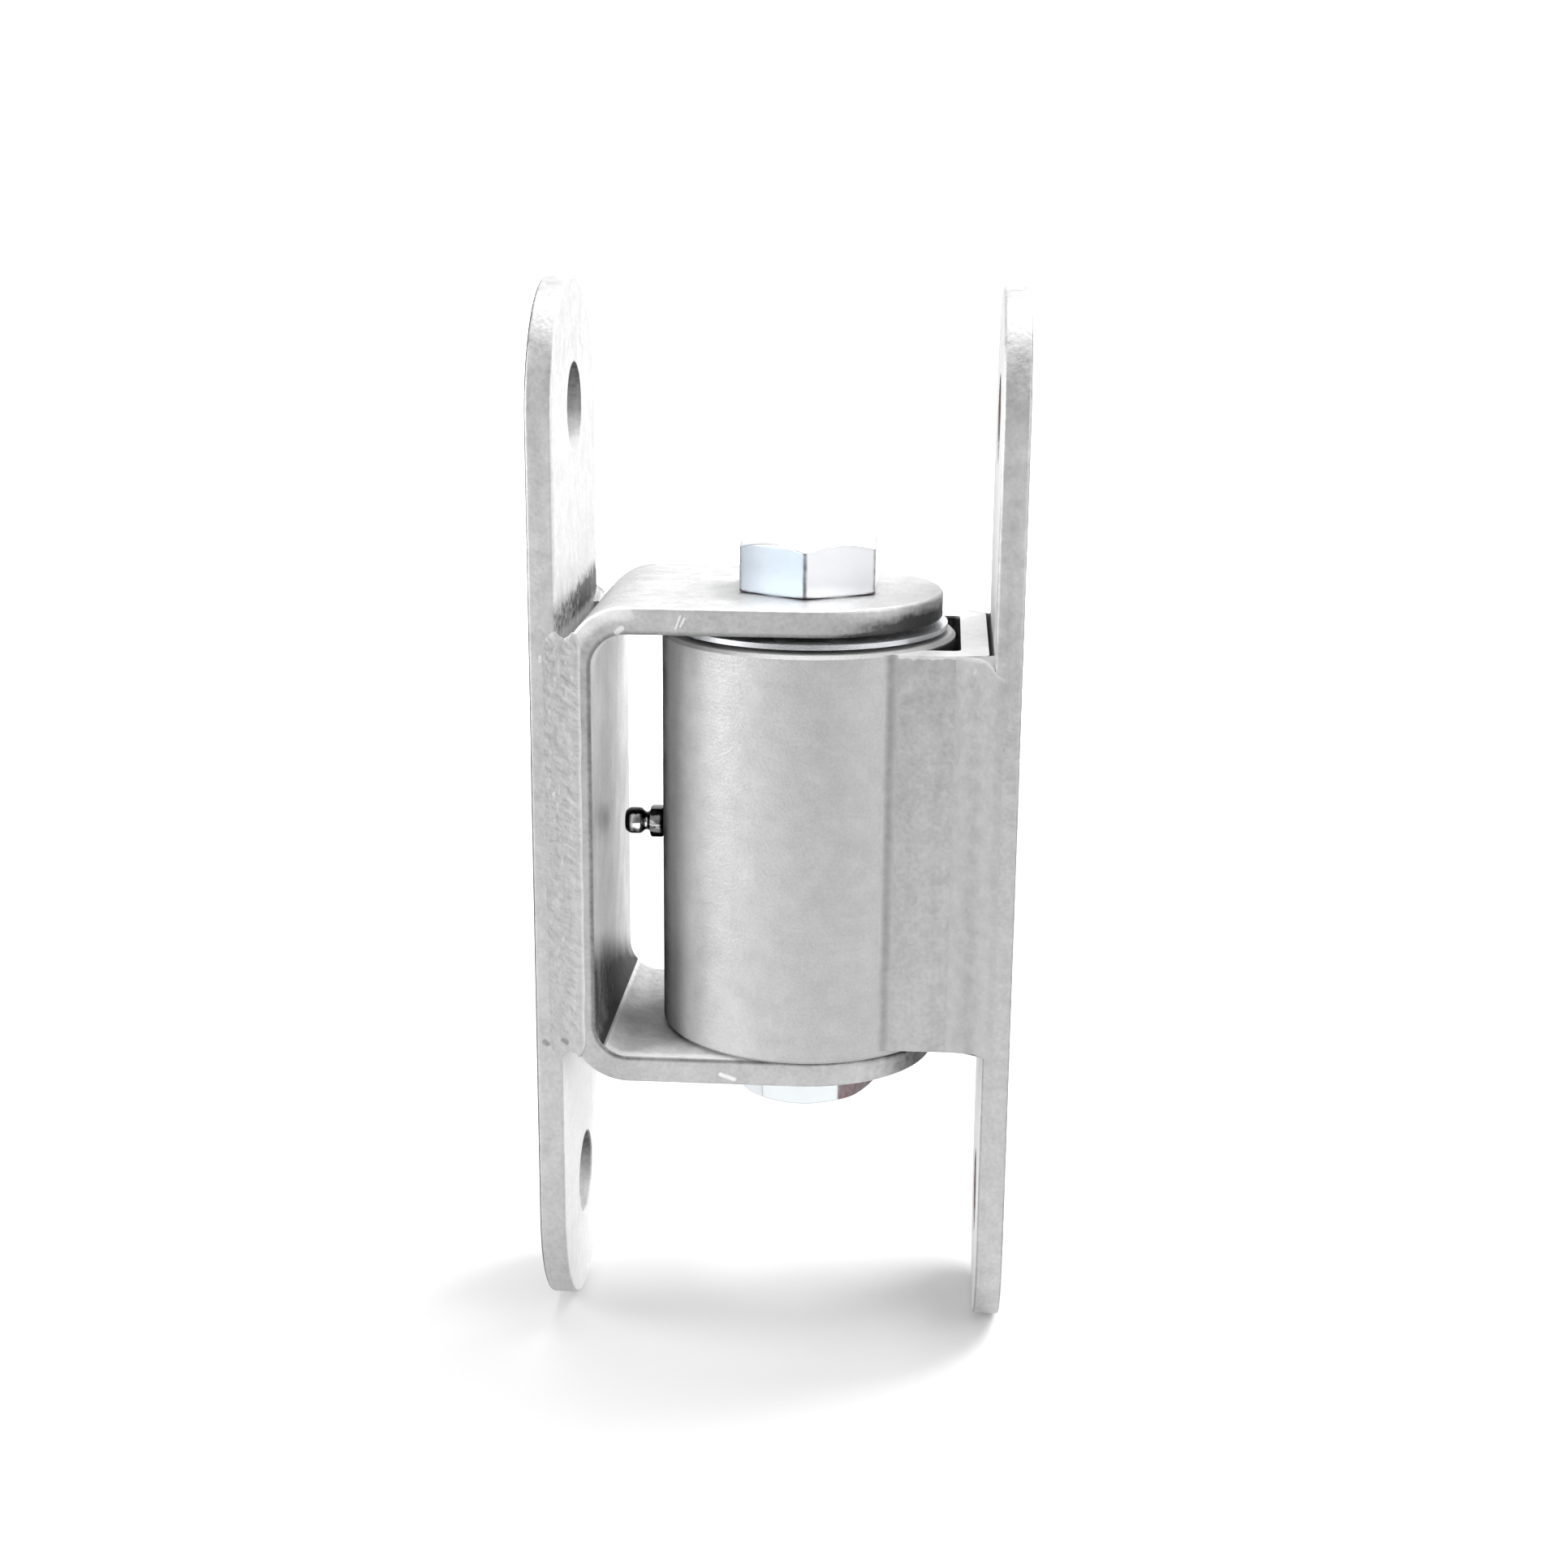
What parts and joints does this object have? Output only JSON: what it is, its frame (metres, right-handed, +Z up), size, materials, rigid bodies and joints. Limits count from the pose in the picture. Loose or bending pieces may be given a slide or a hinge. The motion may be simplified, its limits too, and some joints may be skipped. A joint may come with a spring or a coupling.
{
  "type": "bearing gate hinge",
  "caption": "Heavy gate hinge: a bent yoke on a bolt-on strap holds a greased bearing barrel on a second bolt-on strap, turning about an upright hex bolt.",
  "frame": {"origin": "middle of the outer face of the yoke strap, which lies on the post, half way between its two bolt holes", "axes": "+X from the post face to the gate face, +Y to the back as seen in the picture, +Z up along the pivot bolt"},
  "size_m": [0.112, 0.0698, 0.2554],
  "materials": {
    "bar_steel": "matte light grey mill steel, finely mottled",
    "barrel_steel": "satin light grey steel tube",
    "weld_metal": "rippled weld bead",
    "zinc_plate": "bright bluish zinc plate",
    "ring_steel": "plain turned steel",
    "bearing_steel": "ground and polished",
    "cage_steel": "pressed steel",
    "nipple_zinc": "bright zinc plate",
    "seal_rubber": "black nitrile rubber"
  },
  "bodies": {
    "yoke_leaf": {"yoke_strap": "bar_steel", "yoke": "bar_steel", "yoke_seam_weld_front": "weld_metal", "yoke_seam_weld_back": "weld_metal", "pivot_bolt": "zinc_plate", "lock_nut": "zinc_plate", "dust_washer": "zinc_plate", "shim_washer": "ring_steel", "upper_spacer_ring": "ring_steel", "lower_spacer_ring": "ring_steel", "bearing_sleeve": "ring_steel", "upper_bearing_cone": "bearing_steel", "lower_bearing_cone": "bearing_steel"},
    "barrel_leaf": {"gate_strap": "bar_steel", "bracket_channel": "bar_steel", "bracket_seam_weld_front": "weld_metal", "bracket_seam_weld_back": "weld_metal", "barrel": "barrel_steel", "barrel_seam_weld_front": "weld_metal", "barrel_seam_weld_back": "weld_metal", "upper_bearing_cup": "bearing_steel", "lower_bearing_cup": "bearing_steel", "upper_grease_seal": "seal_rubber", "lower_grease_seal": "seal_rubber", "grease_nipple": "nipple_zinc", "nipple_spring": "bearing_steel"},
    "upper_roller_set": {"upper_rollers": "bearing_steel", "upper_roller_cage": "cage_steel"},
    "lower_roller_set": {"lower_rollers": "bearing_steel", "lower_roller_cage": "cage_steel"},
    "nipple_check_ball": {"nipple_ball": "bearing_steel"}
  },
  "joints": [
    {"name": "gate_swing", "type": "hinge", "parent": "yoke_leaf", "child": "barrel_leaf", "pos_m": [0.062, 0, 0], "axis": [0, 0, 1], "range_deg": [-105, 105]},
    {"name": "upper_rollers_roll", "type": "hinge", "parent": "yoke_leaf", "child": "upper_roller_set", "pos_m": [0.062, 0, 0.03], "axis": [0, 0, 1], "range_deg": [-63, 63]},
    {"name": "lower_rollers_roll", "type": "hinge", "parent": "yoke_leaf", "child": "lower_roller_set", "pos_m": [0.062, 0, -0.037], "axis": [0, 0, 1], "range_deg": [-63, 63]},
    {"name": "nipple_ball_press", "type": "slide", "parent": "barrel_leaf", "child": "nipple_check_ball", "axis": [1, 0, 0], "range_m": [0, 0.0008], "stiffness_N_per_m": 150, "springref_m": -0.002, "deforming": ["nipple_spring"]}
  ],
  "couplings": [
    {"joint": "upper_rollers_roll", "follows": "gate_swing", "ratio": 0.5951},
    {"joint": "lower_rollers_roll", "follows": "gate_swing", "ratio": 0.5951}
  ]
}
